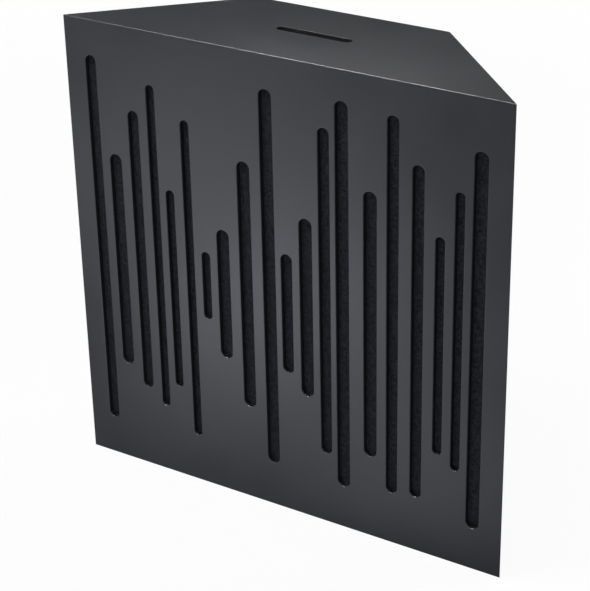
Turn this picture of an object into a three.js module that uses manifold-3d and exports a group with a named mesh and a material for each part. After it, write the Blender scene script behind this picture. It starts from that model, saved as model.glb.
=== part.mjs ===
// Corner bass trap: a slotted square front on a closed MDF body that narrows at 45 degrees towards
// the room corner. Inside are a ring of timber cleats at the top and one at the bottom, two upright
// battens for the screwed rear cover, black cloth behind every slot and three slabs of absorber.
// Millimetres, +Z up. The front faces -Y, and the origin is under the middle of the body.

import * as THREE from 'three';
import { ConvexGeometry } from 'three/addons/geometries/ConvexGeometry.js';
import { mergeVertices } from 'three/addons/utils/BufferGeometryUtils.js';
import Module from 'manifold-3d';

// Body
const faceWidth = 595;
const faceHeight = 595;
const bodyDepth = 167;
const sideAngle = THREE.MathUtils.degToRad(45);

// Board and its joints. The land is the narrow flat left on the two sharp front edges.
const boardThickness = 6;
const glueLine = 0.3;
const edgeEase = 1;
const frontLand = 0.6;
const rearCornerRadius = 6;

// Slots of the front panel, cut with three widths of cutter, their front rims just broken
const narrowCutter = 11.4;
const mediumCutter = 14.6;
const wideCutter = 16.8;
const rimEase = 0.5;

// Slot of the top and bottom panels
const endSlotLength = 100;
const endSlotWidth = 12;
const endSlotDepthShare = 0.5;

// Cloth behind the slots
const fleeceThickness = 1;
const endFleeceMargin = 20;

// Timber inside. The lap is how far each upright batten reaches in behind the rear cover, and its
// depth is what a screw bites and what is left past the screw's point.
const cleatWidth = 18;
const cleatHeight = 18;
const battenLap = 24;
const screwBite = 13.9;
const timberPastScrew = 4.1;

// Absorber: slabs of one thickness, front to back, that together fill the depth of the body
const slabNames = ['front_absorber_slab', 'middle_absorber_slab', 'rear_absorber_slab'];
const slabFit = 0.5;

// Rear cover and its screws
const coverFit = 0.5;
const screwDiameter = 3.5;
const screwTip = 4;
const screwHeadDiameter = 7;
const screwHeadRim = 0.3;
const screwSink = 0.2;
const screwClearance = 0.3;
const recessLength = 4;
const recessWidth = 0.9;
const recessDepth = 1.6;

// How far a cutter runs past the surface that it cuts, and how finely round shapes are divided
const overrun = 2;
const slotEndSteps = 5;
const cornerSteps = 4;
const screwSides = 16;

// Slots from left to right. Places are shares of the face: across its width, and up its height for
// the lower and the upper end.
const slotShares = [
  { cutter: mediumCutter, across: 0.06, low: 0.091, high: 0.924 },
  { cutter: wideCutter, across: 0.108, low: 0.237, high: 0.72 },
  { cutter: mediumCutter, across: 0.158, low: 0.193, high: 0.824 },
  { cutter: narrowCutter, across: 0.203, low: 0.16, high: 0.887 },
  { cutter: narrowCutter, across: 0.24, low: 0.218, high: 0.669 },
  { cutter: narrowCutter, across: 0.283, low: 0.111, high: 0.828 },
  { cutter: narrowCutter, across: 0.322, low: 0.4, high: 0.551 },
  { cutter: wideCutter, across: 0.365, low: 0.321, high: 0.61 },
  { cutter: wideCutter, across: 0.419, low: 0.221, high: 0.769 },
  { cutter: wideCutter, across: 0.474, low: 0.102, high: 0.929 },
  { cutter: mediumCutter, across: 0.515, low: 0.328, high: 0.592 },
  { cutter: wideCutter, across: 0.56, low: 0.286, high: 0.679 },
  { cutter: mediumCutter, across: 0.603, low: 0.165, high: 0.876 },
  { cutter: wideCutter, across: 0.643, low: 0.098, high: 0.937 },
  { cutter: wideCutter, across: 0.705, low: 0.189, high: 0.768 },
  { cutter: mediumCutter, across: 0.754, low: 0.119, high: 0.93 },
  { cutter: mediumCutter, across: 0.808, low: 0.126, high: 0.843 },
  { cutter: narrowCutter, across: 0.855, low: 0.24, high: 0.709 },
  { cutter: narrowCutter, across: 0.895, low: 0.215, high: 0.808 },
  { cutter: wideCutter, across: 0.936, low: 0.095, high: 0.896 },
];

// Screws up each rear batten, as shares of the batten's length
const battenScrewShares = [0.06, 0.5, 0.94];

// Depths at which the layers of the body lie, measured back from the front face
const fleeceFront = boardThickness + glueLine;
const fleeceRear = fleeceFront + fleeceThickness;
const coverFront = bodyDepth - boardThickness;
const battenRear = coverFront - glueLine;
const battenFront = battenRear - screwBite - timberPastScrew;
const screwPoint = battenRear - screwBite;
const screwLength = bodyDepth - screwSink - screwPoint;
const slabPitch = (coverFront - fleeceRear - slabFit) / slabNames.length;
const slabThickness = slabPitch - slabFit;

// Heights of the two rings of cleats and of the space between them
const ringLow = boardThickness + glueLine;
const ringHigh = ringLow + cleatHeight;
const fillLow = ringHigh + glueLine;
const fillHigh = faceHeight - fillLow;

const wasm = await Module();
wasm.setup();

// Solids

function solidOf(geometry) {
  const bare = geometry.clone();
  bare.deleteAttribute('normal');
  bare.deleteAttribute('uv');
  const merged = mergeVertices(bare);
  return new wasm.Manifold(new wasm.Mesh({
    numProp: 3,
    vertProperties: new Float32Array(merged.attributes.position.array),
    triVerts: new Uint32Array(merged.index.array),
  }));
}

function geometryOf(solid) {
  const mesh = solid.getMesh();
  const geometry = new THREE.BufferGeometry();
  geometry.setAttribute('position', new THREE.BufferAttribute(mesh.vertProperties, 3));
  geometry.setIndex(new THREE.BufferAttribute(mesh.triVerts, 1));
  geometry.computeVertexNormals();
  return geometry;
}

function cut(body, cutters) {
  return cutters.reduce((left, cutter) => left.subtract(cutter), body);
}

// An upright prism on a plan outline
function prism(shape, low, high) {
  const geometry = new THREE.ExtrudeGeometry(shape, {
    depth: high - low,
    bevelEnabled: false,
    curveSegments: slotEndSteps,
  });
  return geometry.translate(0, 0, low);
}

// Plan of the body

// Half the body's width at a depth behind the front face, an inset in from the slanted side. The
// slanted sides start behind the land of the front edges.
function sideX(depth, inset) {
  return faceWidth / 2 + (frontLand - depth) / Math.tan(sideAngle) - inset / Math.sin(sideAngle);
}

// Distance from a mitred edge to the cut, along the board's face, with half the glue line each side
function mitreSetback(cornerAngle) {
  return glueLine / 2 / Math.sin(cornerAngle / 2);
}

const squareSetback = mitreSetback(Math.PI / 2);
const slantSetback = mitreSetback(sideAngle);

// The corners of the plan between two depths, at one inset from both slanted sides
function planCorners(front, rear, inset) {
  return [
    new THREE.Vector2(-sideX(front, inset), front),
    new THREE.Vector2(sideX(front, inset), front),
    new THREE.Vector2(sideX(rear, inset), rear),
    new THREE.Vector2(-sideX(rear, inset), rear),
  ];
}

function atHeight(corners, height) {
  return corners.map((corner) => new THREE.Vector3(corner.x, corner.y, height));
}

// The whole body with its arrises eased and its two rear edges rounded, used to trim every board
function easedBody() {
  const outline = new THREE.Shape();
  const centreDepth = bodyDepth - rearCornerRadius;
  const centreX = sideX(centreDepth, rearCornerRadius);
  const sideNormal = Math.PI / 2 - sideAngle;
  outline.moveTo(-sideX(0, 0), 0);
  outline.lineTo(sideX(0, 0), 0);
  outline.absarc(centreX, centreDepth, rearCornerRadius, sideNormal, Math.PI / 2, false);
  outline.absarc(-centreX, centreDepth, rearCornerRadius, Math.PI / 2, Math.PI - sideNormal, false);
  const body = new THREE.ExtrudeGeometry(outline, {
    depth: faceHeight - 2 * edgeEase,
    bevelThickness: edgeEase,
    bevelSize: edgeEase,
    bevelOffset: -edgeEase,
    bevelSegments: 1,
    curveSegments: cornerSteps,
  });
  body.translate(0, 0, edgeEase);
  const lands = new THREE.BoxGeometry(faceWidth, 2 * bodyDepth + overrun, 2 * faceHeight + overrun);
  return solidOf(body).intersect(solidOf(lands));
}

const envelope = easedBody();

// A board between an outside face and a smaller inside face, so that its edges come out mitred
function mitredBoard(outside, inside) {
  return solidOf(new ConvexGeometry([...outside, ...inside])).intersect(envelope);
}

// Slots

function slotShape(length, width) {
  const radius = width / 2;
  const straight = length / 2 - radius;
  const shape = new THREE.Shape();
  shape.absarc(straight, 0, radius, -Math.PI / 2, Math.PI / 2, false);
  shape.absarc(-straight, 0, radius, Math.PI / 2, Math.PI * 3 / 2, false);
  return shape;
}

// A cutter for one slot, lying along X and coming down on the face at height 0 from above. Its
// collar breaks the rim.
function slotCutter(length, width) {
  const shape = slotShape(length, width);
  const collarSize = rimEase + overrun;
  const collar = new THREE.ExtrudeGeometry(shape, {
    depth: overrun,
    bevelThickness: collarSize,
    bevelSize: collarSize,
    bevelSegments: 1,
    curveSegments: slotEndSteps,
  });
  collar.translate(0, 0, overrun);
  const shank = prism(shape, -boardThickness - overrun, overrun);
  return { collar, shank };
}

function placedCutter(cutter, place) {
  return solidOf(cutter.shank.applyMatrix4(place)).add(solidOf(cutter.collar.applyMatrix4(place)));
}

// Upright on the front face, cutting back into it
function frontSlot(slot) {
  const low = slot.low * faceHeight;
  const high = slot.high * faceHeight;
  const upright = new THREE.Matrix4().makeBasis(
    new THREE.Vector3(0, 0, 1),
    new THREE.Vector3(-1, 0, 0),
    new THREE.Vector3(0, -1, 0),
  );
  upright.setPosition((slot.across - 1 / 2) * faceWidth, 0, (low + high) / 2);
  return placedCutter(slotCutter(high - low, slot.cutter), upright);
}

// Through the top panel, or turned over through the bottom one
function endSlot(atTop) {
  const place = atTop
    ? new THREE.Matrix4().makeTranslation(0, bodyDepth * endSlotDepthShare, faceHeight)
    : new THREE.Matrix4().makeRotationX(Math.PI).setPosition(0, bodyDepth * endSlotDepthShare, 0);
  return placedCutter(slotCutter(endSlotLength, endSlotWidth), place);
}

// Casing

function frontPanel() {
  const low = squareSetback;
  const high = faceHeight - squareSetback;
  const outsideX = sideX(0, 0) - slantSetback;
  const insideX = sideX(boardThickness, boardThickness) - slantSetback;
  const face = (halfWidth, depth, inset) => [
    new THREE.Vector3(-halfWidth, depth, low + inset),
    new THREE.Vector3(halfWidth, depth, low + inset),
    new THREE.Vector3(halfWidth, depth, high - inset),
    new THREE.Vector3(-halfWidth, depth, high - inset),
  ];
  const board = mitredBoard(face(outsideX, 0, 0), face(insideX, boardThickness, boardThickness));
  return cut(board, slotShares.map(frontSlot));
}

function endPanel(atTop) {
  const inset = boardThickness + squareSetback;
  const outside = planCorners(squareSetback, bodyDepth, squareSetback);
  const inside = planCorners(inset, bodyDepth, inset);
  const outsideHeight = atTop ? faceHeight : 0;
  const insideHeight = atTop ? faceHeight - boardThickness : boardThickness;
  const board = mitredBoard(atHeight(outside, outsideHeight), atHeight(inside, insideHeight));
  return cut(board, [endSlot(atTop)]);
}

// side is 1 for the right-hand panel and -1 for the left-hand one
function sidePanel(side) {
  const setback = slantSetback * Math.sin(sideAngle);
  const face = (inset) => [inset + setback, bodyDepth].flatMap((depth) => [
    new THREE.Vector3(side * sideX(depth, inset), depth, squareSetback + inset),
    new THREE.Vector3(side * sideX(depth, inset), depth, faceHeight - squareSetback - inset),
  ]);
  return mitredBoard(face(0), face(boardThickness));
}

// Rear cover and its screws

const coverHalfWidth = sideX(bodyDepth, boardThickness) - coverFit;
const battenInnerX = coverHalfWidth - battenLap;
const battenScrewX = coverHalfWidth - battenLap / 2;
const cleatScrewHeight = ringLow + cleatHeight / 2;

// Screw places as across and up, numbered up the right batten, up the left one, then the two cleats
const screwPlaces = [
  ...[1, -1].flatMap((side) => battenScrewShares.map((share) => (
    { across: side * battenScrewX, up: fillLow + share * (fillHigh - fillLow) }
  ))),
  { across: 0, up: cleatScrewHeight },
  { across: 0, up: faceHeight - cleatScrewHeight },
];

// A solid of revolution about the screw's axis, its head end towards the back
function turned(profile) {
  const points = profile.map(([radius, along]) => new THREE.Vector2(radius, along));
  return new THREE.LatheGeometry(points, screwSides);
}

function screwHole(place) {
  const shank = screwDiameter / 2 + screwClearance;
  const head = screwHeadDiameter / 2 + screwClearance;
  const hole = turned([
    [0, -screwLength - screwClearance - screwSink],
    [shank, -screwLength - screwClearance - screwSink],
    [shank, shank - head - screwSink],
    [head, -screwSink],
    [head, overrun],
    [0, overrun],
  ]);
  return solidOf(hole.translate(place.across, bodyDepth, place.up));
}

function coverScrew(place) {
  const shank = screwDiameter / 2;
  const head = screwHeadDiameter / 2;
  const body = turned([
    [0, -screwLength],
    [shank, screwTip - screwLength],
    [shank, shank - head - screwHeadRim],
    [head, -screwHeadRim],
    [head, 0],
    [0, 0],
  ]);
  const recess = [[recessLength, recessWidth], [recessWidth, recessLength]].map(([width, height]) => (
    solidOf(new THREE.BoxGeometry(width, 2 * recessDepth, height))
  ));
  return geometryOf(cut(solidOf(body), recess)).translate(place.across, bodyDepth - screwSink, place.up);
}

function rearCover() {
  const low = boardThickness + coverFit;
  const board = new THREE.BoxGeometry(2 * coverHalfWidth, boardThickness, faceHeight - 2 * low);
  board.translate(0, bodyDepth - boardThickness / 2, faceHeight / 2);
  return cut(solidOf(board), screwPlaces.map(screwHole));
}

// Timber

function frontCleat(low) {
  const corners = planCorners(fleeceFront, fleeceFront + cleatWidth, boardThickness + glueLine);
  return prism(new THREE.Shape(corners), low, low + cleatHeight);
}

function rearCleat(low) {
  const corners = planCorners(battenFront, battenRear, boardThickness + glueLine);
  const bar = solidOf(prism(new THREE.Shape(corners), low, low + cleatHeight));
  return geometryOf(cut(bar, screwPlaces.map(screwHole)));
}

function sideCleat(side, low) {
  const front = fleeceFront + cleatWidth + glueLine;
  const rear = battenFront - glueLine;
  const outer = boardThickness + glueLine;
  const inner = outer + cleatWidth;
  const shape = new THREE.Shape([
    new THREE.Vector2(side * sideX(front, outer), front),
    new THREE.Vector2(side * sideX(rear, outer), rear),
    new THREE.Vector2(side * sideX(rear, inner), rear),
    new THREE.Vector2(side * sideX(front, inner), front),
  ]);
  return prism(shape, low, low + cleatHeight);
}

function rearBatten(side) {
  const outer = boardThickness + glueLine;
  const shape = new THREE.Shape([
    new THREE.Vector2(side * sideX(battenFront, outer), battenFront),
    new THREE.Vector2(side * sideX(battenRear, outer), battenRear),
    new THREE.Vector2(side * battenInnerX, battenRear),
    new THREE.Vector2(side * battenInnerX, battenFront),
  ]);
  const bar = solidOf(prism(shape, fillLow, fillHigh));
  return geometryOf(cut(bar, screwPlaces.map(screwHole)));
}

// Cloth

function frontFleece() {
  const corners = planCorners(fleeceFront, fleeceRear, boardThickness + glueLine);
  return prism(new THREE.Shape(corners), fillLow, fillHigh);
}

function endFleece(low) {
  const length = endSlotLength + 2 * endFleeceMargin;
  const width = endSlotWidth + 2 * endFleeceMargin;
  const cloth = new THREE.BoxGeometry(length, width, fleeceThickness);
  return cloth.translate(0, bodyDepth * endSlotDepthShare, low + fleeceThickness / 2);
}

// Absorber

const slabInset = boardThickness + slabFit;

function plainSlab(front) {
  const corners = planCorners(front, front + slabThickness, slabInset);
  return prism(new THREE.Shape(corners), fillLow, fillHigh);
}

// The rear slab is notched round the two battens
function rearSlab(front) {
  const rear = front + slabThickness;
  const shoulder = battenFront - slabFit;
  const tongueX = battenInnerX - slabFit;
  const shape = new THREE.Shape([
    new THREE.Vector2(-sideX(front, slabInset), front),
    new THREE.Vector2(sideX(front, slabInset), front),
    new THREE.Vector2(sideX(shoulder, slabInset), shoulder),
    new THREE.Vector2(tongueX, shoulder),
    new THREE.Vector2(tongueX, rear),
    new THREE.Vector2(-tongueX, rear),
    new THREE.Vector2(-tongueX, shoulder),
    new THREE.Vector2(-sideX(shoulder, slabInset), shoulder),
  ]);
  return prism(shape, fillLow, fillHigh);
}

// Materials

function anthraciteLacquer() {
  return new THREE.MeshStandardMaterial({ color: 0x4a4b4e, roughness: 0.45, metalness: 0 });
}

function blackFleece() {
  return new THREE.MeshStandardMaterial({ color: 0x17181a, roughness: 0.95, metalness: 0 });
}

function greyWool() {
  return new THREE.MeshStandardMaterial({ color: 0x5c5d5f, roughness: 1, metalness: 0 });
}

function pine() {
  return new THREE.MeshStandardMaterial({ color: 0xc9a26b, roughness: 0.7, metalness: 0 });
}

function blackSteel() {
  return new THREE.MeshStandardMaterial({ color: 0x2a2b2d, roughness: 0.5, metalness: 0 });
}

// Assembly

const trap = new THREE.Group();
trap.position.y = -bodyDepth / 2;

function addPiece(name, geometry, material) {
  const mesh = new THREE.Mesh(geometry, material);
  mesh.name = name;
  trap.add(mesh);
}

addPiece('front_panel', geometryOf(frontPanel()), anthraciteLacquer());
addPiece('top_panel', geometryOf(endPanel(true)), anthraciteLacquer());
addPiece('bottom_panel', geometryOf(endPanel(false)), anthraciteLacquer());
addPiece('left_side_panel', geometryOf(sidePanel(-1)), anthraciteLacquer());
addPiece('right_side_panel', geometryOf(sidePanel(1)), anthraciteLacquer());
addPiece('rear_cover', geometryOf(rearCover()), anthraciteLacquer());
screwPlaces.forEach((place, index) => {
  addPiece(`cover_screw_${index + 1}`, coverScrew(place), blackSteel());
});

const topRingLow = faceHeight - ringHigh;
addPiece('bottom_front_cleat', frontCleat(ringLow), pine());
addPiece('bottom_left_cleat', sideCleat(-1, ringLow), pine());
addPiece('bottom_right_cleat', sideCleat(1, ringLow), pine());
addPiece('bottom_rear_cleat', rearCleat(ringLow), pine());
addPiece('top_front_cleat', frontCleat(topRingLow), pine());
addPiece('top_left_cleat', sideCleat(-1, topRingLow), pine());
addPiece('top_right_cleat', sideCleat(1, topRingLow), pine());
addPiece('top_rear_cleat', rearCleat(topRingLow), pine());
addPiece('left_rear_batten', rearBatten(-1), pine());
addPiece('right_rear_batten', rearBatten(1), pine());

addPiece('front_fleece', frontFleece(), blackFleece());
addPiece('bottom_fleece', endFleece(ringLow), blackFleece());
addPiece('top_fleece', endFleece(faceHeight - ringLow - fleeceThickness), blackFleece());

slabNames.forEach((name, index) => {
  const front = fleeceRear + slabFit + index * slabPitch;
  const isRear = index === slabNames.length - 1;
  addPiece(name, isRear ? rearSlab(front) : plainSlab(front), greyWool());
});

export default trap;
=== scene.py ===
# Corner bass trap: a slotted square front on a closed board cabinet that narrows towards the room
# corner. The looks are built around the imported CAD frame, in metres, with the front towards -Y.

import math

import bmesh
import bpy
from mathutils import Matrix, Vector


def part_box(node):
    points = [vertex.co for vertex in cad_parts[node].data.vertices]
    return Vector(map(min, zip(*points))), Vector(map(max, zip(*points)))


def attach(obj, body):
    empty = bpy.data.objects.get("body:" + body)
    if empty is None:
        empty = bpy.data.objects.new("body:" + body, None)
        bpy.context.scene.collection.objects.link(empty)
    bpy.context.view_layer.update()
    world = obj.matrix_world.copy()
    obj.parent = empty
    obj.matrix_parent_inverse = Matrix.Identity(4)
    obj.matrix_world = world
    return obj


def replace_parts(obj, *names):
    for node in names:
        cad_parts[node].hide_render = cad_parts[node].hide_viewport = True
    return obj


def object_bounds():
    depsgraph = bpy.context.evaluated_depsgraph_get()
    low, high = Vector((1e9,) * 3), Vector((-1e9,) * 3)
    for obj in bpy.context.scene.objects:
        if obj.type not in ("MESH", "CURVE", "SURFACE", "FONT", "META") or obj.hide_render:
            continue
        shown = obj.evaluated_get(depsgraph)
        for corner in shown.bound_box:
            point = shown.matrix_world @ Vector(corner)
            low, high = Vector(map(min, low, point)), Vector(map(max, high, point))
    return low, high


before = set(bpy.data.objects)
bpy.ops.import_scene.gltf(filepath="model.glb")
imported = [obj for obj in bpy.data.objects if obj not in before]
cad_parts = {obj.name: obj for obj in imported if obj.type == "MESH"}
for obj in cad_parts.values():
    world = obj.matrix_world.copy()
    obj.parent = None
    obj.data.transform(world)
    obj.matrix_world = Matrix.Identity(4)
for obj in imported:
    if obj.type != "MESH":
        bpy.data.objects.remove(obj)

packed_low, packed_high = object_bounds()
bpy.ops.object.select_all(action="DESELECT")

MM = 0.001

# Camera
# The photograph is a long-lens view from the right of the front and 27 degrees above the horizon. The
# place and the turn were solved from the outline's corners and the slots' ends in the picture.
photo_lens = 116.8
photo_sensor = 36
camera_place = (1.1023, -1.7748, 1.3201)
camera_turn_degrees = (63.11, 1.04, 32.08)

bpy.ops.object.camera_add(
    location=camera_place, rotation=[math.radians(angle) for angle in camera_turn_degrees]
)
camera = bpy.context.object
camera.name = "photo_camera"
camera.data.lens = photo_lens
camera.data.sensor_width = photo_sensor
bpy.context.scene.camera = camera
bpy.context.scene.view_settings.view_transform = "Standard"


# Floor and surround
# A plain pale sweep. It is white to the camera and in gloss and glass, it lights the object only as a
# dim pale room does, and the floor keeps a faint soft shadow round the cabinet.
floor_reach = 12
floor_paint = "#f2f2f2"
near_white_share = 0.92
near_reach = 0.7
all_white_from = 2.5
room_strength = 0.45


def tone(code):
    """The linear colour of an sRGB hex code, by the standard curve."""
    parts = [int(code[i : i + 2], 16) / 255 for i in (1, 3, 5)]
    return [p / 12.92 if p <= 0.04045 else ((p + 0.055) / 1.055) ** 2.4 for p in parts] + [1]


def add_node(holder, kind, inputs=None, shades=(), **settings):
    """Adds one node. Inputs hold a socket's value, or the output of another node that feeds it.
    Shades are the two ends of a colour ramp, each as its place and its hex code."""
    node = holder.node_tree.nodes.new(kind)
    for name, value in settings.items():
        setattr(node, name, value)
    for name, value in (inputs or {}).items():
        if isinstance(value, bpy.types.NodeSocket):
            holder.node_tree.links.new(value, node.inputs[name])
        else:
            node.inputs[name].default_value = value
    for number, (place, code) in enumerate(shades):
        node.color_ramp.elements[number].position = place
        node.color_ramp.elements[number].color = tone(code)
    return node


def new_material(name):
    made = bpy.data.materials.new(name)
    made.use_nodes = True
    made.node_tree.nodes.clear()
    return made


def seen_plainly(holder):
    """1 for a ray from the camera, a gloss or clear glass, and 0 for the rays that carry light."""
    path = add_node(holder, "ShaderNodeLightPath").outputs
    gloss = add_node(
        holder,
        "ShaderNodeMath",
        {0: path["Is Camera Ray"], 1: path["Is Glossy Ray"]},
        operation="MAXIMUM",
    )
    glass = add_node(
        holder,
        "ShaderNodeMath",
        {0: gloss.outputs[0], 1: path["Is Transmission Ray"]},
        operation="MAXIMUM",
    )
    return glass.outputs[0]


def add_surround():
    room = bpy.data.worlds.new("pale_room")
    room.use_nodes = True
    room.node_tree.nodes.clear()
    dim = add_node(
        room, "ShaderNodeBackground", {"Color": tone("#ffffff"), "Strength": room_strength}
    )
    white = add_node(room, "ShaderNodeBackground", {"Color": tone("#ffffff")})
    mixed = add_node(
        room,
        "ShaderNodeMixShader",
        {0: seen_plainly(room), 1: dim.outputs[0], 2: white.outputs[0]},
    )
    add_node(room, "ShaderNodeOutputWorld", {"Surface": mixed.outputs[0]})
    bpy.context.scene.world = room


def pale_floor_paint():
    """Matt emulsion, seen as nearly white. Near the cabinet it keeps a little of its own light and
    shade, and further away it is as white as the sweep behind it."""
    made = new_material("pale_floor_paint")
    paint = add_node(made, "ShaderNodeBsdfDiffuse", {"Color": tone(floor_paint)})
    white = add_node(made, "ShaderNodeEmission", {"Color": tone("#ffffff")})
    where = add_node(made, "ShaderNodeTexCoord").outputs["Object"]
    away = add_node(made, "ShaderNodeVectorMath", {0: where}, operation="LENGTH")
    whiteness = add_node(
        made,
        "ShaderNodeMapRange",
        {
            "Value": away.outputs["Value"],
            "From Min": near_reach,
            "From Max": all_white_from,
            "To Min": near_white_share,
            "To Max": 1,
        },
        interpolation_type="SMOOTHSTEP",
    )
    share = add_node(
        made,
        "ShaderNodeMath",
        {0: seen_plainly(made), 1: whiteness.outputs["Result"]},
        operation="MULTIPLY",
    )
    mixed = add_node(
        made,
        "ShaderNodeMixShader",
        {0: share.outputs[0], 1: paint.outputs[0], 2: white.outputs[0]},
    )
    add_node(made, "ShaderNodeOutputMaterial", {"Surface": mixed.outputs[0]})
    return made


def add_floor():
    bpy.ops.mesh.primitive_plane_add(size=floor_reach)
    floor = bpy.context.object
    floor.name = "pale_floor"
    floor.data.materials.append(pale_floor_paint())


add_surround()
add_floor()


# Lamps
# Soft boxes as in a product studio. The one overhead and to the left lights the top, and the others
# fill the front and the back. Gloss sees the ceiling card's glowing spots, a painted reflection, further
# on instead of the overhead one.
# Places and sizes are in metres, and powers in watts.
overhead_box = {"middle": (-0.5, -0.65, 1.8), "aim": (0, 0, 0.6), "size": 0.6, "power": 14}
front_box = {"middle": (0.6, -2.2, 1.1), "aim": (0, 0, 0.3), "size": 1.4, "power": 8}
rear_box = {"middle": (1.6, 1.6, 1.5), "aim": (0, 0, 0.3), "size": 1.4, "power": 30}


def turn_towards(thing):
    """The turn that points a lamp or a card from its middle to what it is aimed at."""
    towards = [a - b for a, b in zip(thing["aim"], thing["middle"])]
    flat = math.hypot(towards[0], towards[1])
    return (math.atan2(flat, -towards[2]), 0, math.atan2(-towards[0], towards[1]))


def add_soft_box(name, box):
    bpy.ops.object.light_add(type="AREA", location=box["middle"], rotation=turn_towards(box))
    lamp = bpy.context.object
    lamp.name = name
    lamp.data.size = box["size"]
    lamp.data.energy = box["power"]
    lamp.visible_camera = False


add_soft_box("overhead_box", overhead_box)
bpy.context.object.visible_glossy = False
add_soft_box("front_box", front_box)
add_soft_box("rear_box", rear_box)


# Painted reflection cards
# Satin black shows what it mirrors: a card on the floor in the front, one that hangs behind in the top,
# and one overhead in the arris between them. They are black with soft spots that glow though they are
# no lamps, as a dark studio round a lit table, and only gloss sees them: they paint the reflections and
# sheen on the lacquer.
table_clearance = 0.3 * MM
table_card = {"middle": (-0.4, -1.75, table_clearance), "aim": (-0.4, -1.75, 1), "size": (3.6, 3.9)}
hanging_card = {"middle": (-0.33, 0.5, 1.15), "aim": (0, 0, 1.15), "size": (2.2, 1.4)}
ceiling_card = {"middle": (-0.35, -0.45, 1.5), "aim": (-0.35, -0.45, 0), "size": (1.4, 0.8)}
table_glow = "#f0f5ff"
hanging_glow = "#fafbff"
ceiling_glow = "#ffffff"

# Each painted reflection spot: where its middle is, how far it reaches, both in metres, and how brightly
# it glows, where 1 is the white of the floor
table_spots = [
    ((-0.22, -0.06, 0), 0.27, 0.3),
    ((-0.05, -0.17, 0), 0.27, 0.43),
    ((0.11, -0.28, 0), 0.27, 1.1),
    ((0.26, -0.2, 0), 0.25, 0.35),
    ((-0.36, -0.27, 0), 0.3, 0.6),
    ((-0.19, -0.38, 0), 0.3, 1.25),
    ((-0.02, -0.49, 0), 0.3, 1),
    ((-0.35, -0.63, 0), 0.35, 4.9),
    ((-0.69, -0.77, 0), 0.4, 1.8),
    ((-0.88, -1.06, 0), 0.45, 3.4),
]
hanging_spots = [
    ((-0.75, 0.23, 1.25), 0.3, 4),
    ((-0.33, 0.5, 1.25), 0.3, 8.5),
    ((-0.12, 0.64, 0.98), 0.3, 0.3),
]
ceiling_spots = [
    ((-0.35, -0.45, 1.5), 0.4, 116),
    ((-0.7, -0.45, 1.5), 0.3, 50),
]


def painted_reflection_card(name, colour, spots):
    """Black, with spots that glow though they are no lamps, as painted reflections: brightest in the
    middle of each spot and fading to its edge.
    """
    made = new_material(name)
    where = add_node(made, "ShaderNodeNewGeometry").outputs["Position"]
    total = None
    for middle, reach, strength in spots:
        away = add_node(made, "ShaderNodeVectorMath", {0: where, 1: middle}, operation="DISTANCE")
        glow = add_node(
            made,
            "ShaderNodeMapRange",
            {"Value": away.outputs["Value"], "From Max": reach, "To Min": strength, "To Max": 0},
            interpolation_type="SMOOTHSTEP",
        ).outputs["Result"]
        if total is not None:
            glow = add_node(made, "ShaderNodeMath", {0: total, 1: glow}).outputs[0]
        total = glow
    lit = add_node(made, "ShaderNodeEmission", {"Color": tone(colour), "Strength": total})
    add_node(made, "ShaderNodeOutputMaterial", {"Surface": lit.outputs[0]})
    return made


def add_card(name, card, glow):
    bpy.ops.mesh.primitive_plane_add(size=1, location=card["middle"], rotation=turn_towards(card))
    piece = bpy.context.object
    piece.name = name
    piece.scale = (*card["size"], 1)
    piece.data.materials.append(glow)
    for kind in ("camera", "diffuse", "transmission", "volume_scatter", "shadow"):
        setattr(piece, f"visible_{kind}", False)


# The three cards glow only in gloss and light nothing: they paint the reflections, the sheen and the
# arris highlight on the lacquer.
add_card("table_card", table_card, painted_reflection_card("table_glow", table_glow, table_spots))
add_card("hanging_card", hanging_card, painted_reflection_card("hanging_glow", hanging_glow, hanging_spots))
add_card("ceiling_card", ceiling_card, painted_reflection_card("ceiling_glow", ceiling_glow, ceiling_spots))


# Front board
# A 595 mm square of 6 mm board with twenty routed slots. All four edges are cut on the mitre and
# glued, the arrises are eased, and the outside is sprayed with satin anthracite lacquer.
cover_low, cover_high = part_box("rear_cover")
board = cover_high.y - cover_low.y
body_front = packed_low.y
body_back = packed_high.y
body_depth = body_back - body_front
body_height = packed_high.z
body_half_width = packed_high.x
half_turn = math.pi
quarter_turn = math.pi / 2
side_angle = math.radians(45)
# The square edge that the front keeps before its sides start to slant
front_land = 0.6 * MM
# Pressed nearly to nothing, so that a closed mitre reads as one edge
glue_line = 0.04 * MM
arris_radius = 1 * MM
arris_steps = 3
rear_corner_radius = 6 * MM
rear_corner_steps = 8
# Nearness that counts as being at the same place, when picking points and when merging them
hair = 0.01 * MM
speck = 0.0005 * MM
# How much of a face's normal points to a side for the face to belong to it, and to be square to it
facing_share = 0.3
square_share = 0.9

narrow_cutter = 11.4 * MM
medium_cutter = 14.6 * MM
wide_cutter = 16.8 * MM
rim_radius = 1 * MM
rim_steps = 4
rim_flare_steps = 6
slot_sides = 32
overrun = 2 * MM

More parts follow.
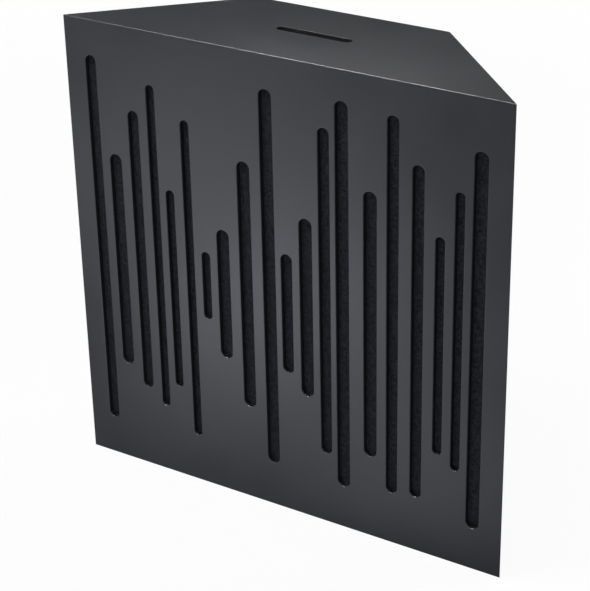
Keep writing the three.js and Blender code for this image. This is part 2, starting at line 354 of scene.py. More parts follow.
# From left to right: the cutter, and the slot's place as shares of the face, across and then up for
# its lower and upper end
slot_shares = [
    (medium_cutter, 0.06, 0.091, 0.924),
    (wide_cutter, 0.108, 0.237, 0.72),
    (medium_cutter, 0.158, 0.193, 0.824),
    (narrow_cutter, 0.203, 0.16, 0.887),
    (narrow_cutter, 0.24, 0.218, 0.669),
    (narrow_cutter, 0.283, 0.111, 0.828),
    (narrow_cutter, 0.322, 0.4, 0.551),
    (wide_cutter, 0.365, 0.321, 0.61),
    (wide_cutter, 0.419, 0.221, 0.769),
    (wide_cutter, 0.474, 0.102, 0.929),
    (medium_cutter, 0.515, 0.328, 0.592),
    (wide_cutter, 0.56, 0.286, 0.679),
    (medium_cutter, 0.603, 0.165, 0.876),
    (wide_cutter, 0.643, 0.098, 0.937),
    (wide_cutter, 0.705, 0.189, 0.768),
    (medium_cutter, 0.754, 0.119, 0.93),
    (medium_cutter, 0.808, 0.126, 0.843),
    (narrow_cutter, 0.855, 0.24, 0.709),
    (narrow_cutter, 0.895, 0.215, 0.808),
    (wide_cutter, 0.936, 0.095, 0.896),
]


def half_width(depth, inset=0):
    """Half the body's width at a depth behind its face, an inset in from the slanted side."""
    return body_half_width + (front_land - depth) / math.tan(side_angle) - inset / math.sin(side_angle)


def select_only(*pieces):
    bpy.ops.object.select_all(action="DESELECT")
    for piece in pieces:
        piece.select_set(True)
    bpy.context.view_layer.objects.active = pieces[0]


def settle(piece):
    """Puts the piece's place into its mesh, so that its object sits at the origin."""
    select_only(piece)
    bpy.ops.object.transform_apply(location=True, rotation=True, scale=True)


def add_block(name, low, high):
    """A block between two opposite corners, left open in edit mode to be shaped."""
    middle = [(a + b) / 2 for a, b in zip(low, high)]
    size = [b - a for a, b in zip(low, high)]
    bpy.ops.mesh.primitive_cube_add(size=1, location=middle, scale=size)
    piece = bpy.context.object
    piece.name = name
    settle(piece)
    bpy.ops.object.mode_set(mode="EDIT")
    return piece


def choose(kind, test):
    """In edit mode, selects only the points, edges or faces that pass the test."""
    bpy.ops.mesh.select_mode(type=kind)
    bpy.ops.mesh.select_all(action="DESELECT")
    mesh = bpy.context.object.data
    shape = bmesh.from_edit_mesh(mesh)
    for part in {"VERT": shape.verts, "EDGE": shape.edges, "FACE": shape.faces}[kind]:
        if test(part):
            part.select_set(True)
    shape.select_flush_mode()
    bmesh.update_edit_mesh(mesh)


def slide(test, x=0, y=0, z=0):
    choose("VERT", test)
    bpy.ops.transform.translate(value=(x, y, z))


def draw_in(test, x=1, y=1, z=1, centre=(0, 0, 0)):
    choose("VERT", test)
    bpy.ops.transform.resize(value=(x, y, z), center_override=centre)


def leave_edit():
    bpy.ops.object.mode_set(mode="OBJECT")


def combine(piece, other, operation):
    """Cuts the piece with the other, or trims it to the other, and keeps the other for more use."""
    select_only(piece)
    cut = piece.modifiers.new("cut", "BOOLEAN")
    cut.operation = operation
    cut.object = other
    cut.solver = "EXACT"
    bpy.ops.object.modifier_apply(modifier=cut.name)
    bpy.ops.object.mode_set(mode="EDIT")
    bpy.ops.mesh.select_all(action="SELECT")
    bpy.ops.mesh.remove_doubles(threshold=speck)
    bpy.ops.mesh.dissolve_degenerate(threshold=speck)
    leave_edit()


def discard(piece):
    bpy.data.objects.remove(piece)


def is_upright(edge):
    return abs(edge.verts[0].co.z - edge.verts[1].co.z) > hair


def add_eased_body():
    """The whole body, solid and sanded, which trims every board so that the arrises run through."""
    tip = half_width(0)
    body = add_block("eased_body", (-tip, body_front, 0), (tip, body_back, body_height))
    draw_in(lambda v: v.co.y > 0, x=half_width(body_depth) / tip)
    choose("EDGE", lambda e: all(v.co.y > 0 for v in e.verts) and is_upright(e))
    bpy.ops.mesh.bevel(
        offset=rear_corner_radius * math.tan(side_angle / 2), segments=rear_corner_steps
    )
    choose("EDGE", lambda e: not is_upright(e))
    bpy.ops.mesh.bevel(offset=arris_radius, segments=arris_steps)
    for side in (-1, 1):
        bpy.ops.mesh.select_all(action="SELECT")
        bpy.ops.mesh.bisect(
            plane_co=(side * body_half_width, 0, 0),
            plane_no=(side, 0, 0),
            use_fill=True,
            clear_outer=True,
        )
    leave_edit()
    return body


def add_turned(name, profile, sides):
    """A closed solid turned about Z, through rings given as (radius, height) from top to bottom."""
    (first_radius, first_height), *rest = profile
    bpy.ops.mesh.primitive_circle_add(
        vertices=sides,
        radius=first_radius,
        fill_type="NGON",
        location=(0, 0, first_height),
        rotation=(0, 0, half_turn / sides),
    )
    piece = bpy.context.object
    piece.name = name
    settle(piece)
    bpy.ops.object.mode_set(mode="EDIT")
    bpy.ops.mesh.select_all(action="SELECT")
    radius, height = first_radius, first_height
    for next_radius, next_height in rest:
        bpy.ops.mesh.extrude_region_move(
            TRANSFORM_OT_translate={"value": (0, 0, next_height - height)}
        )
        share = next_radius / radius
        bpy.ops.transform.resize(value=(share, share, 1), center_override=(0, 0, next_height))
        radius, height = next_radius, next_height
    bpy.ops.mesh.select_all(action="SELECT")
    bpy.ops.mesh.normals_make_consistent(inside=False)
    return piece


def add_slot_cutter(length, width, ease):
    """Comes down on a face at height 0 and leaves a slot along Y with round ends and a rounded rim."""
    radius = width / 2
    turns = [quarter_turn * step / rim_steps for step in range(rim_steps + 1)]
    rim = [(radius + ease * (1 - math.sin(t)), ease * (math.cos(t) - 1)) for t in turns]
    flare = [a + (a - b) * rim_flare_steps for a, b in zip(rim[0], rim[1])]
    cutter = add_turned("slot_cutter", [flare, *rim[1:], (radius, -board - overrun)], slot_sides)
    straight = length - width
    slide(lambda v: v.co.y > 0, y=straight / 2)
    slide(lambda v: v.co.y < 0, y=-straight / 2)
    leave_edit()
    return cutter


def put(piece, place, turn):
    piece.rotation_euler = turn
    piece.location = place
    settle(piece)


def front_slot_cutters():
    cutters = []
    for width, across, low, high in slot_shares:
        cutter = add_slot_cutter((high - low) * body_height, width, rim_radius)
        x = (2 * across - 1) * body_half_width
        z = (low + high) / 2 * body_height
        put(cutter, (x, body_front, z), (quarter_turn, 0, 0))
        cutters.append(cutter)
    select_only(*cutters)
    bpy.ops.object.join()
    return cutters[0]


def mitre_setback(corner_angle):
    """From a mitred edge to the cut along the board's face, with half the glue line on each side."""
    return glue_line / 2 / math.sin(corner_angle / 2)


square_setback = mitre_setback(quarter_turn)
slant_setback = mitre_setback(side_angle)


def satin_anthracite_lacquer():
    """Two-pack lacquer sprayed on board: an even near-black that owes its grey to a soft broad sheen.
    The spray leaves a fine orange peel, drawn at 2.2 mm, and the film's sheen drifts a little."""
    made = new_material("satin_anthracite_lacquer")
    peel_size = 2.2 * MM
    peel_height = 0.006 * MM
    drift_size = 90 * MM
    drift_low = 0.3
    drift_high = 0.7
    glossier = 0.33
    duller = 0.37
    shades = [(drift_low, "#232427"), (drift_high, "#27282b")]
    where = add_node(made, "ShaderNodeTexCoord").outputs["Object"]
    drift = add_node(made, "ShaderNodeTexNoise", {"Vector": where, "Scale": 1 / drift_size, "Detail": 2})
    colour = add_node(made, "ShaderNodeValToRGB", {"Fac": drift.outputs["Fac"]}, shades)
    sheen = add_node(
        made,
        "ShaderNodeMapRange",
        {
            "Value": drift.outputs["Fac"],
            "From Min": drift_low,
            "From Max": drift_high,
            "To Min": glossier,
            "To Max": duller,
        },
    )
    peel = add_node(made, "ShaderNodeTexNoise", {"Vector": where, "Scale": 1 / peel_size, "Detail": 1})
    bump = add_node(
        made,
        "ShaderNodeBump",
        {"Height": peel.outputs["Fac"], "Distance": peel_height, "Strength": 1},
    )
    film = add_node(
        made,
        "ShaderNodeBsdfPrincipled",
        {
            "Base Color": colour.outputs["Color"],
            "Roughness": sheen.outputs["Result"],
            "IOR": 1.45,
            "Normal": bump.outputs["Normal"],
        },
    )
    add_node(made, "ShaderNodeOutputMaterial", {"Surface": film.outputs[0]})
    return made


def black_dyed_fibreboard():
    """Board dyed through and left bare where it was sawn or routed: matt, nearly black, with short
    paler fibres, drawn at 1 mm, that catch a little light."""
    made = new_material("black_dyed_fibreboard")
    fibre_size = 1 * MM
    fibre_height = 0.05 * MM
    shades = [(0.4, "#121213"), (0.75, "#222223")]
    where = add_node(made, "ShaderNodeTexCoord").outputs["Object"]
    fibre = add_node(made, "ShaderNodeTexNoise", {"Vector": where, "Scale": 1 / fibre_size, "Detail": 4})
    colour = add_node(made, "ShaderNodeValToRGB", {"Fac": fibre.outputs["Fac"]}, shades)
    bump = add_node(
        made,
        "ShaderNodeBump",
        {"Height": fibre.outputs["Fac"], "Distance": fibre_height, "Strength": 0.6},
    )
    core = add_node(
        made,
        "ShaderNodeBsdfPrincipled",
        {
            "Base Color": colour.outputs["Color"],
            "Roughness": 0.9,
            "IOR": 1.15,
            "Normal": bump.outputs["Normal"],
        },
    )
    add_node(made, "ShaderNodeOutputMaterial", {"Surface": core.outputs[0]})
    return made


lacquer = satin_anthracite_lacquer()
fibreboard = black_dyed_fibreboard()
smooth_below = math.radians(40)


def finish_board(piece, is_bare):
    """Gives the board its lacquer, leaves the faces that pass the test bare, and shades its rounds."""
    for skin in (lacquer, fibreboard):
        piece.data.materials.append(skin)
    select_only(piece)
    bpy.ops.object.mode_set(mode="EDIT")
    choose("FACE", is_bare)
    piece.active_material_index = piece.data.materials.find(fibreboard.name)
    bpy.ops.object.material_slot_assign()
    leave_edit()
    finish_shading(piece)
    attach(piece, "root")


def finish_shading(piece):
    """Rounds shade smooth, and the flats between them keep their own normals."""
    select_only(piece)
    bpy.ops.object.shade_smooth_by_angle(angle=smooth_below)
    weighted = piece.modifiers.new("flats_first", "WEIGHTED_NORMAL")
    weighted.keep_sharp = True
    bpy.ops.object.modifier_apply(modifier=weighted.name)


def add_front_board(body):
    half = half_width(0) - slant_setback
    inner_half = half_width(board, board) - slant_setback
    half_height = body_height / 2 - square_setback
    middle = (0, body_front, body_height / 2)
    low = (-half, body_front, square_setback)
    high = (half, body_front + board, body_height - square_setback)
    piece = add_block("slotted_front_board", low, high)
    draw_in(
        lambda v: v.co.y > body_front + hair,
        x=inner_half / half,
        z=1 - board / half_height,
        centre=middle,
    )
    leave_edit()
    combine(piece, body, "INTERSECT")
    cutters = front_slot_cutters()
    combine(piece, cutters, "DIFFERENCE")
    discard(cutters)
    land = body_half_width - hair
    mid_rim = body_front + rim_radius / 2

    def is_bare(face):
        place = face.calc_center_median()
        return face.normal.y > -facing_share and abs(place.x) < land and place.y > mid_rim

    finish_board(piece, is_bare)
    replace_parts(piece, "front_panel")


eased_body = add_eased_body()
add_front_board(eased_body)


# Top and bottom boards
# Trapezoids of the same board, mitred to the front and the sides and running over the rear cover. One
# short slot is routed in each, so that the wool breathes at both ends.
end_slot_length = 100 * MM
end_slot_width = 12 * MM
end_rim_radius = 0.2 * MM


def add_end_board(name, at_top, body):
    outside = body_height if at_top else 0
    inside = body_height - board if at_top else board
    front_half = half_width(square_setback, square_setback)
    rear_half = half_width(body_depth, square_setback)
    inner_inset = board + square_setback
    low = (-front_half, body_front + square_setback, min(outside, inside))
    high = (front_half, body_back, max(outside, inside))
    piece = add_block(name, low, high)

    def is_inside(point):
        return abs(point.co.z - inside) < hair

    def is_front(point):
        return point.co.y < 0

    draw_in(lambda v: not is_front(v), x=rear_half / front_half)
    draw_in(
        lambda v: is_inside(v) and is_front(v), x=half_width(inner_inset, inner_inset) / front_half
    )
    draw_in(
        lambda v: is_inside(v) and not is_front(v), x=half_width(body_depth, inner_inset) / rear_half
    )
    slide(lambda v: is_inside(v) and is_front(v), y=board)
    leave_edit()
    combine(piece, body, "INTERSECT")
    cutter = add_slot_cutter(end_slot_length, end_slot_width, end_rim_radius)
    put(cutter, (0, 0, outside), (0 if at_top else half_turn, 0, quarter_turn))
    combine(piece, cutter, "DIFFERENCE")
    discard(cutter)
    outwards = 1 if at_top else -1

    def is_bare(face):
        place = face.calc_center_median()
        on_rear = place.y > body_back - rear_corner_radius and face.normal.y > facing_share
        past_rim = (outside - place.z) * outwards > end_rim_radius / 2
        return face.normal.z * outwards < facing_share and past_rim and not on_rear

    finish_board(piece, is_bare)
    return piece


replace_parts(add_end_board("top_board", True, eased_body), "top_panel")
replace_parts(add_end_board("bottom_board", False, eased_body), "bottom_panel")


# Side boards
# Two rectangles of board at 45 degrees to the front, mitred on three edges. They lie against the two
# walls of the room corner, and their rear ends are rounded over to the back.


def add_side_board(name, side, body):
    front = square_setback
    outer_front = half_width(front)
    inner_front = half_width(board + front, board)
    inner_rear = half_width(body_depth, board)
    outer_rear = half_width(body_depth)
    xs = sorted((side * inner_rear, side * outer_front))
    low = (xs[0], body_front + front, square_setback)
    high = (xs[1], body_back, body_height - square_setback)
    piece = add_block(name, low, high)

    def is_outer(point):
        return abs(point.co.x - side * outer_front) < hair

    def is_front(point):
        return point.co.y < 0

    middle = (0, 0, body_height / 2)
    half_height = body_height / 2 - square_setback
    draw_in(lambda v: not is_outer(v), z=1 - board / half_height, centre=middle)
    choose("VERT", lambda v: is_outer(v) and not is_front(v))
    rear_outer = {v.index for v in bmesh.from_edit_mesh(piece.data).verts if v.select}
    choose("VERT", lambda v: not is_outer(v) and is_front(v))
    bpy.ops.transform.translate(value=(side * (inner_front - inner_rear), board, 0))
    slide(lambda v: v.index in rear_outer, x=side * (outer_rear - outer_front))
    leave_edit()
    combine(piece, body, "INTERSECT")

    def is_bare(face):
        slanted_out = face.normal.x * side > facing_share and face.normal.y > facing_share
        return not slanted_out and face.normal.y < square_share

    finish_board(piece, is_bare)
    return piece


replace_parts(add_side_board("left_side_board", -1, eased_body), "left_side_panel")
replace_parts(add_side_board("right_side_board", 1, eased_body), "right_side_panel")
discard(eased_body)


# Cleats
# Planed pine, 18 mm square, glued round the inside of the casing in a ring at the top and one at the
# bottom. They back the mitres, and the slabs of wool stand between them.
timber_arris = 0.8 * MM
timber_arris_steps = 2
pilot_bore = 3.4 * MM
pilot_sides = 16
past_screw = 1 * MM
screw_count = 8


def pine(name, turn):
    """Planed softwood, grain along the bar once it is turned: pale earlywood between darker bands of
    latewood about 3 mm apart, and fine pores, drawn at 0.8 mm, that run with the grain."""
    made = new_material(name)
    band_width = 3 * MM
    band_length = 120 * MM
    pore_width = 0.8 * MM
    pore_length = 14 * MM
    pore_depth = 0.05 * MM
    shades = [(0.38, "#dcbb88"), (0.66, "#b98a54")]
    where = add_node(made, "ShaderNodeTexCoord").outputs["Object"]
    lying = add_node(
        made, "ShaderNodeMapping", {"Vector": where, "Rotation": turn}, vector_type="TEXTURE"
    )
    stretched = add_node(
        made,
        "ShaderNodeVectorMath",
        {0: lying.outputs["Vector"], 1: (1 / band_length, 1 / band_width, 1 / band_width)},
        operation="MULTIPLY",
    )
    drawn_out = add_node(
        made,
        "ShaderNodeVectorMath",
        {0: lying.outputs["Vector"], 1: (1 / pore_length, 1 / pore_width, 1 / pore_width)},
        operation="MULTIPLY",
    )
    bands = add_node(
        made,
        "ShaderNodeTexNoise",
        {"Vector": stretched.outputs["Vector"], "Scale": 1, "Detail": 3, "Distortion": 0.4},
    )
    pores = add_node(
        made, "ShaderNodeTexNoise", {"Vector": drawn_out.outputs["Vector"], "Scale": 1, "Detail": 2}
    )
    wood = add_node(made, "ShaderNodeValToRGB", {"Fac": bands.outputs["Fac"]}, shades)
    bump = add_node(
        made,
        "ShaderNodeBump",
        {"Height": pores.outputs["Fac"], "Distance": pore_depth, "Strength": 0.5},
    )
    planed = add_node(
        made,
        "ShaderNodeBsdfPrincipled",
        {
            "Base Color": wood.outputs["Color"],
            "Roughness": 0.62,
            "IOR": 1.5,
            "Normal": bump.outputs["Normal"],
        },
    )
    add_node(made, "ShaderNodeOutputMaterial", {"Surface": planed.outputs[0]})
    return made


crosswise_pine = pine("crosswise_pine", (0, 0, 0))
left_slanted_pine = pine("left_slanted_pine", (0, 0, quarter_turn - side_angle))
right_slanted_pine = pine("right_slanted_pine", (0, 0, quarter_turn + side_angle))
upright_pine = pine("upright_pine", (0, quarter_turn, 0))


def screw_axes():
    """Where the screws of the rear cover stand, as (x, z)."""
    corners = [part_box(f"cover_screw_{number}") for number in range(1, screw_count + 1)]
    return [((low.x + high.x) / 2, (low.z + high.z) / 2) for low, high in corners]


def drill(piece, low, high):
    """Blind pilot holes for the screws whose axes pass through the bar."""
    screw_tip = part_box("cover_screw_1")[0].y
    for x, z in screw_axes():
        if high.y > screw_tip and low.x < x < high.x and low.z < z < high.z:
            profile = [(pilot_bore / 2, overrun), (pilot_bore / 2, screw_tip - past_screw - high.y)]
            hole = add_turned("pilot_hole", profile, pilot_sides)
            leave_edit()
            put(hole, (x, high.y, z), (-quarter_turn, 0, 0))
            combine(piece, hole, "DIFFERENCE")
            discard(hole)


def finish_timber(piece, node, grain):
    low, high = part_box(node)
    bpy.ops.mesh.select_all(action="SELECT")
    bpy.ops.mesh.bevel(offset=timber_arris, segments=timber_arris_steps)
    leave_edit()
    drill(piece, low, high)
    piece.data.materials.append(grain)
    finish_shading(piece)
    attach(piece, "root")
    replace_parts(piece, node)


def add_tapered_block(name, low, high):
    """A block left open in edit mode, its two ends cut to the slant of the sides."""
    piece = add_block(name, low, high)
    lean = (high.y - low.y) / math.tan(side_angle)
    draw_in(lambda v: v.co.y > (low.y + high.y) / 2, x=(high.x - lean) / high.x)
    return piece


def add_cross_cleat(name, node):
    """A bar along the front or the back, its two ends sawn to the slant of the sides."""
    piece = add_tapered_block(name, *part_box(node))
    finish_timber(piece, node, crosswise_pine)


def add_side_cleat(name, node, side, grain):
    """A bar along a slanted side, butted between the front and the rear bar."""
    low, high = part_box(node)
    lean = (high.y - low.y) / math.tan(side_angle)
    outer_front = high.x if side > 0 else low.x
    inner_front = (low.x if side > 0 else high.x) + side * lean
    xs = sorted((outer_front, inner_front))
    piece = add_block(name, (xs[0], low.y, low.z), (xs[1], high.y, high.z))
    slide(lambda v: v.co.y > (low.y + high.y) / 2, x=-side * lean)
    finish_timber(piece, node, grain)


for level in ("bottom", "top"):
    add_cross_cleat(f"{level}_front_bar", f"{level}_front_cleat")
    add_cross_cleat(f"{level}_rear_bar", f"{level}_rear_cleat")
    add_side_cleat(f"{level}_left_bar", f"{level}_left_cleat", -1, left_slanted_pine)
    add_side_cleat(f"{level}_right_bar", f"{level}_right_cleat", 1, right_slanted_pine)


# Rear battens
# Two upright pine bars behind the cover's long edges, sawn to the slant on the outside and square on
# the inside. Three screws of the cover bite into each.


def add_batten(name, node, side):
    low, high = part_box(node)
    piece = add_block(name, low, high)
    lean = (high.y - low.y) / math.tan(side_angle)
    middle = (low.y + high.y) / 2
    slide(lambda v: v.co.y > middle and v.co.x * side > (low.x + high.x) / 2 * side, x=-side * lean)
    finish_timber(piece, node, upright_pine)


add_batten("left_upright_batten", "left_rear_batten", -1)
add_batten("right_upright_batten", "right_rear_batten", 1)


# Acoustic fleece
# Black needle-felted polyester, 1 mm thick, glued flat behind the slots of the front, the top and the
# bottom. It lets sound in and keeps the wool from showing.
felt_cell = 3 * MM
felt_wave = 14 * MM
felt_unevenness = 0.15 * MM
felt_inset = 0.2 * MM
felt_play = 1 * MM


def black_needle_felt():
    """Needled fibres: a dull black with paler tufts about 4 mm across, and so loose that it hardly
    shines. Single fibres are too fine to show, so they are drawn at 0.7 mm."""
    made = new_material("black_needle_felt")
    tuft_size = 4 * MM
    tuft_height = 0.4 * MM
    fibre_size = 0.7 * MM
    shades = [(0.17, "#17181b"), (0.36, "#2c2e34")]
    where = add_node(made, "ShaderNodeTexCoord").outputs["Object"]
    tufts = add_node(made, "ShaderNodeTexNoise", {"Vector": where, "Scale": 1 / tuft_size, "Detail": 3})
    fibres = add_node(
        made,
        "ShaderNodeTexNoise",
        {"Vector": where, "Scale": 1 / fibre_size, "Detail": 2, "Distortion": 1},
    )
    both = add_node(
        made,
        "ShaderNodeMath",
        {0: tufts.outputs["Fac"], 1: fibres.outputs["Fac"]},
        operation="MULTIPLY",
    )
    colour = add_node(made, "ShaderNodeValToRGB", {"Fac": both.outputs[0]}, shades)
    bump = add_node(
        made, "ShaderNodeBump", {"Height": both.outputs[0], "Distance": tuft_height, "Strength": 0.7}
    )
    cloth = add_node(
        made,
        "ShaderNodeBsdfPrincipled",
        {
            "Base Color": colour.outputs["Color"],
            "Roughness": 0.95,
            "IOR": 1.1,
            "Normal": bump.outputs["Normal"],
        },
    )
    add_node(made, "ShaderNodeOutputMaterial", {"Surface": cloth.outputs[0]})
    return made


felt = black_needle_felt()


# The share of a soft wave that goes inwards
in_and_out_share = 0.5
inwards_only_share = 1


def soft_unevenness(piece, size, height, inward_share):
    """Waves the surface softly, the height being from crest to trough."""
    waves = bpy.data.textures.new(f"{piece.name}_waves", "CLOUDS")
    waves.noise_scale = size
    select_only(piece)
    moved = piece.modifiers.new("unevenness", "DISPLACE")
    moved.texture = waves
    moved.texture_coords = "LOCAL"
    moved.strength = height
    moved.mid_level = inward_share
    bpy.ops.object.modifier_apply(modifier=moved.name)


def add_fleece(name, node, turn):
    """A cut sheet, laid flat against its board. Its length runs along X before it is turned."""
    low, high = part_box(node)
    size = [b - a for a, b in zip(low, high)]
    thickness = min(size) - 2 * felt_inset
    spans = [across - 2 * felt_play for across in size if across > min(size)]
    middle = [(a + b) / 2 for a, b in zip(low, high)]
    bpy.ops.mesh.primitive_grid_add(
        x_subdivisions=round(spans[0] / felt_cell), y_subdivisions=round(spans[1] / felt_cell), size=1
    )
    piece = bpy.context.object
    piece.name = name
    piece.scale = (spans[0], spans[1], 1)
    put(piece, middle, turn)
    soft_unevenness(piece, felt_wave, felt_unevenness, in_and_out_share)
    thick = piece.modifiers.new("thickness", "SOLIDIFY")
    thick.thickness = thickness
    thick.offset = 0
    bpy.ops.object.modifier_apply(modifier=thick.name)
    bpy.ops.object.shade_smooth_by_angle(angle=smooth_below)
    piece.data.materials.append(felt)
    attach(piece, "root")
    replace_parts(piece, node)


add_fleece("front_felt", "front_fleece", (quarter_turn, 0, 0))
add_fleece("bottom_felt", "bottom_fleece", (0, 0, 0))
add_fleece("top_felt", "top_fleece", (0, 0, 0))


# Absorber slabs
# Three slabs of grey polyester wool fill the body from front to back, cut to the slant of the sides.
# The rear one is notched round the battens. They are pushed in from behind and held by their own fit.
wool_cell = 5 * MM
wool_wave = 22 * MM
wool_unevenness = 1.6 * MM
notch_play = 3 * MM


def grey_polyester_wool():
    """Thermally bonded wadding: mid grey, matt and fuzzy, with lighter and darker clumps about 9 mm
    across and loose fibres, drawn at 1.2 mm, lying along the slab."""
    made = new_material("grey_polyester_wool")
    clump_size = 9 * MM
    clump_height = 1 * MM
    fibre_width = 1.2 * MM
    fibre_length = 12 * MM
    shades = [(0.12, "#45464a"), (0.42, "#83858a")]
    where = add_node(made, "ShaderNodeTexCoord").outputs["Object"]
    clumps = add_node(made, "ShaderNodeTexNoise", {"Vector": where, "Scale": 1 / clump_size, "Detail": 4})
    along = add_node(
        made,
        "ShaderNodeVectorMath",
        {0: where, 1: (1 / fibre_length, 1 / fibre_width, 1 / fibre_width)},
        operation="MULTIPLY",
    )
    fibres = add_node(
        made,
        "ShaderNodeTexNoise",
        {"Vector": along.outputs["Vector"], "Scale": 1, "Detail": 3, "Distortion": 1.5},
    )
    both = add_node(
        made,
        "ShaderNodeMath",
        {0: clumps.outputs["Fac"], 1: fibres.outputs["Fac"]},
        operation="MULTIPLY",
    )
    colour = add_node(made, "ShaderNodeValToRGB", {"Fac": both.outputs[0]}, shades)
    bump = add_node(
        made, "ShaderNodeBump", {"Height": both.outputs[0], "Distance": clump_height, "Strength": 0.8}
    )
    wadding = add_node(
        made,
        "ShaderNodeBsdfPrincipled",
        {
            "Base Color": colour.outputs["Color"],
            "Roughness": 1,
            "IOR": 1.3,
            "Sheen Weight": 0.3,
            "Normal": bump.outputs["Normal"],
        },
    )
    add_node(made, "ShaderNodeOutputMaterial", {"Surface": wadding.outputs[0]})
    return made


wool = grey_polyester_wool()


def add_slab(name, node, notches):
    """A slab, cut, then given the soft edges and the lumpy skin of wadding, inside its CAD space."""
    piece = add_tapered_block(name, *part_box(node))
    leave_edit()
    for notch_low, notch_high in notches:
        notch = add_block("notch", notch_low, notch_high)
        leave_edit()
        combine(piece, notch, "DIFFERENCE")
        discard(notch)
    select_only(piece)
    grown = piece.modifiers.new("wadding", "REMESH")
    grown.mode = "VOXEL"
    grown.voxel_size = wool_cell
    bpy.ops.object.modifier_apply(modifier=grown.name)
    soft_unevenness(piece, wool_wave, wool_unevenness, inwards_only_share)
    bpy.ops.object.shade_smooth()
    piece.data.materials.append(wool)
    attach(piece, "root")
    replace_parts(piece, node)


def batten_notches():
    """The room that the rear slab leaves for each batten."""
    notches = []
    for node, side in (("left_rear_batten", -1), ("right_rear_batten", 1)):
        low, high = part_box(node)
        inner = (low.x if side > 0 else high.x) - side * notch_play
        xs = sorted((inner, side * body_half_width))
        notches.append(((xs[0], low.y - notch_play, -overrun), (xs[1], body_back, body_height)))
    return notches


add_slab("front_wool_slab", "front_absorber_slab", [])
add_slab("middle_wool_slab", "middle_absorber_slab", [])
add_slab("rear_wool_slab", "rear_absorber_slab", batten_notches())


# Rear cover
# A plain rectangle of the same lacquered board that drops in between the sides, the top and the
# bottom with half a millimetre to spare. Its eight screw holes are countersunk.
cover_arris = 0.5 * MM
cover_arris_steps = 3
screw_low, screw_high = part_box("cover_screw_1")
head_radius = (screw_high.x - screw_low.x) / 2
screw_length = screw_high.y - screw_low.y
head_sink = body_back - screw_high.y
shank_radius = 1.75 * MM
hole_play = 0.3 * MM


def add_rear_cover():
    piece = add_block("rear_cover_board", cover_low, cover_high)
    bpy.ops.mesh.select_all(action="SELECT")
    bpy.ops.mesh.bevel(offset=cover_arris, segments=cover_arris_steps)
    leave_edit()
    wide = head_radius + hole_play
    slim = shank_radius + hole_play
    profile = [
        (wide, overrun),
        (wide, -head_sink),
        (slim, slim - wide - head_sink),
        (slim, -board - overrun),
    ]
    for x, z in screw_axes():
        hole = add_turned("countersink", profile, slot_sides)
        leave_edit()
        put(hole, (x, body_back, z), (-quarter_turn, 0, 0))
        combine(piece, hole, "DIFFERENCE")
        discard(hole)

    def is_bare(face):
        return face.calc_center_median().y < body_back - head_sink - hair

    finish_board(piece, is_bare)
    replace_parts(piece, "rear_cover")


add_rear_cover()


# Cover screws
# Eight 3.5 x 20 mm countersunk wood screws, black phosphated, with a cross recess. They hold the
# rear cover to the battens and to the two rear cleats, and come out when the wool is changed.
thread_pitch = 1.6 * MM
thread_height = 0.45 * MM
thread_root = 0.15 * MM
thread_steps = 16
point_bands = 16
core_radius = 1.2 * MM
tip_length = 4 * MM
head_rim = 0.3 * MM
head_ease = 0.1 * MM
plain_neck = 2.2 * MM
recess_reach = 4 * MM
recess_width = 0.9 * MM
recess_depth = 1.6 * MM
recess_foot_share = 0.45
point_share = 0.08
thread_foot_share = 0.6
# Three points on a circle of radius 1 make a triangle of this height and width
ridge_points = 3
unit_ridge_height = 1.5
unit_ridge_width = math.sqrt(3)


def black_phosphated_steel():
    """Hardened steel with a grown phosphate skin: charcoal, dull, with fine crystals, drawn at
    0.3 mm, that break up the gloss."""
    made = new_material("black_phosphated_steel")
    crystal_size = 0.3 * MM
    crystal_height = 0.02 * MM
    shades = [(0.35, "#2b2c2e"), (0.7, "#4c4d51")]
    where = add_node(made, "ShaderNodeTexCoord").outputs["Object"]
    crystals = add_node(
        made, "ShaderNodeTexNoise", {"Vector": where, "Scale": 1 / crystal_size, "Detail": 2}
    )
    colour = add_node(made, "ShaderNodeValToRGB", {"Fac": crystals.outputs["Fac"]}, shades)
    bump = add_node(
        made,
        "ShaderNodeBump",
        {"Height": crystals.outputs["Fac"], "Distance": crystal_height, "Strength": 0.5},
    )
    skin = add_node(
        made,
        "ShaderNodeBsdfPrincipled",
        {
            "Base Color": colour.outputs["Color"],
            "Roughness": 0.5,
            "IOR": 1.6,
            "Normal": bump.outputs["Normal"],
        },
    )
    add_node(made, "ShaderNodeOutputMaterial", {"Surface": skin.outputs[0]})
    return made


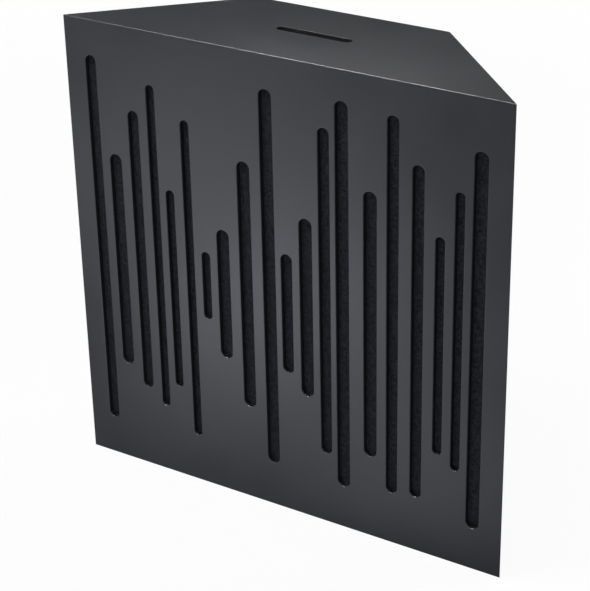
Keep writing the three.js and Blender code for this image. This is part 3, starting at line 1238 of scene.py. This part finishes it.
def add_thread(start, end):
    """A sharp ridge that winds down the core and narrows with the point. It starts inside the neck."""
    depth = thread_height + thread_root
    bpy.ops.mesh.primitive_circle_add(
        vertices=ridge_points, radius=1, fill_type="NOTHING", rotation=(quarter_turn, quarter_turn, 0)
    )
    ridge = bpy.context.object
    ridge.name = "thread_ridge"
    settle(ridge)
    reach = depth / unit_ridge_height
    ridge.scale = (reach, 1, thread_pitch * thread_foot_share / unit_ridge_width)
    put(ridge, (core_radius + thread_height - reach, 0, start), (0, 0, 0))
    wound = ridge.modifiers.new("winding", "SCREW")
    wound.steps = wound.render_steps = thread_steps
    wound.iterations = round((start - end) / thread_pitch)
    wound.screw_offset = -thread_pitch
    bpy.ops.object.modifier_apply(modifier=wound.name)
    bpy.ops.object.mode_set(mode="EDIT")
    bpy.ops.mesh.select_all(action="SELECT")
    bpy.ops.mesh.fill_holes(sides=ridge_points)
    bpy.ops.mesh.normals_make_consistent(inside=False)
    band = tip_length / point_bands
    for number in range(point_bands):
        top = tip_length - screw_length - number * band
        mid_band = number + 0.5
        share = 1 - mid_band / point_bands
        draw_in(lambda v: top - band < v.co.z <= top, x=share, y=share)
    leave_edit()
    return ridge


def add_screw():
    """Head up, its face at height 0: the head's cone, a plain neck, the core and the point."""
    neck_end = -head_radius - plain_neck
    profile = [
        (head_radius - head_ease, 0),
        (head_radius, -head_ease),
        (head_radius, -head_rim),
        (shank_radius, shank_radius - head_radius - head_rim),
        (shank_radius, neck_end),
        (core_radius, neck_end - thread_pitch / 2),
        (core_radius, tip_length - screw_length),
        (core_radius * point_share, -screw_length),
    ]
    screw = add_turned("cover_screw", profile, slot_sides)
    leave_edit()
    for turn in (0, quarter_turn):
        reach = recess_reach / 2
        half = recess_width / 2
        blade = add_block("recess_blade", (-reach, -half, -recess_depth), (reach, half, recess_depth))
        draw_in(lambda v: v.co.z < 0, x=recess_foot_share)
        leave_edit()
        put(blade, (0, 0, 0), (0, 0, turn))
        combine(screw, blade, "DIFFERENCE")
        discard(blade)
    thread = add_thread(neck_end, tip_length / point_bands - screw_length)
    combine(screw, thread, "UNION")
    discard(thread)
    screw.data.materials.append(black_phosphated_steel())
    finish_shading(screw)
    return screw


first_screw = add_screw()
for number, (x, z) in enumerate(screw_axes(), start=1):
    select_only(first_screw)
    bpy.ops.object.duplicate()
    copy = bpy.context.object
    copy.name = f"countersunk_screw_{number}"
    put(copy, (x, body_back - head_sink, z), (-quarter_turn, 0, 0))
    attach(copy, "root")
    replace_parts(copy, f"cover_screw_{number}")
discard(first_screw)
